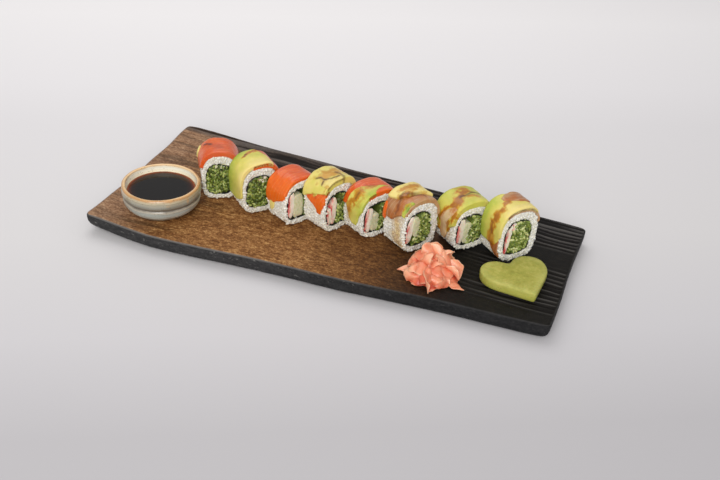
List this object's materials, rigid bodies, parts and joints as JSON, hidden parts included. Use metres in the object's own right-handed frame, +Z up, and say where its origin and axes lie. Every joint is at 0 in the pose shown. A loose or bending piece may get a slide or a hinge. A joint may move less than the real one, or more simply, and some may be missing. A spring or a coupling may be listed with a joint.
{
  "type": "uramaki roll platter",
  "caption": "Long stoneware board with a slanting row of inside-out sushi rolls, a small dish of soy sauce, a heap of pickled ginger and a heart of wasabi paste.",
  "frame": {"origin": "under the middle of the board, on the surface that its foot stands on", "axes": "+X along the board away from the sauce dish, +Y towards the board's straight back edge, +Z up"},
  "size_m": [0.4008, 0.1874, 0.065],
  "materials": {
    "stoneware": "satin",
    "dish_glaze": "satin",
    "soy": "gloss",
    "ginger": "satin",
    "wasabi": "matte",
    "rice": "satin",
    "nori": "matte",
    "salmon": "satin",
    "avocado": "satin",
    "white_fish": "satin",
    "cucumber": "satin",
    "crab": "satin",
    "sauce": "gloss"
  },
  "bodies": {
    "root": {"board": "stoneware", "dish": "dish_glaze", "soy": "soy", "ginger": "ginger", "wasabi_heart": "wasabi", "roll_1": "rice", "roll_2": "rice", "roll_3": "rice", "roll_4": "rice", "roll_5": "rice", "roll_6": "rice", "roll_7": "rice", "roll_8": "rice"}
  },
  "joints": []
}
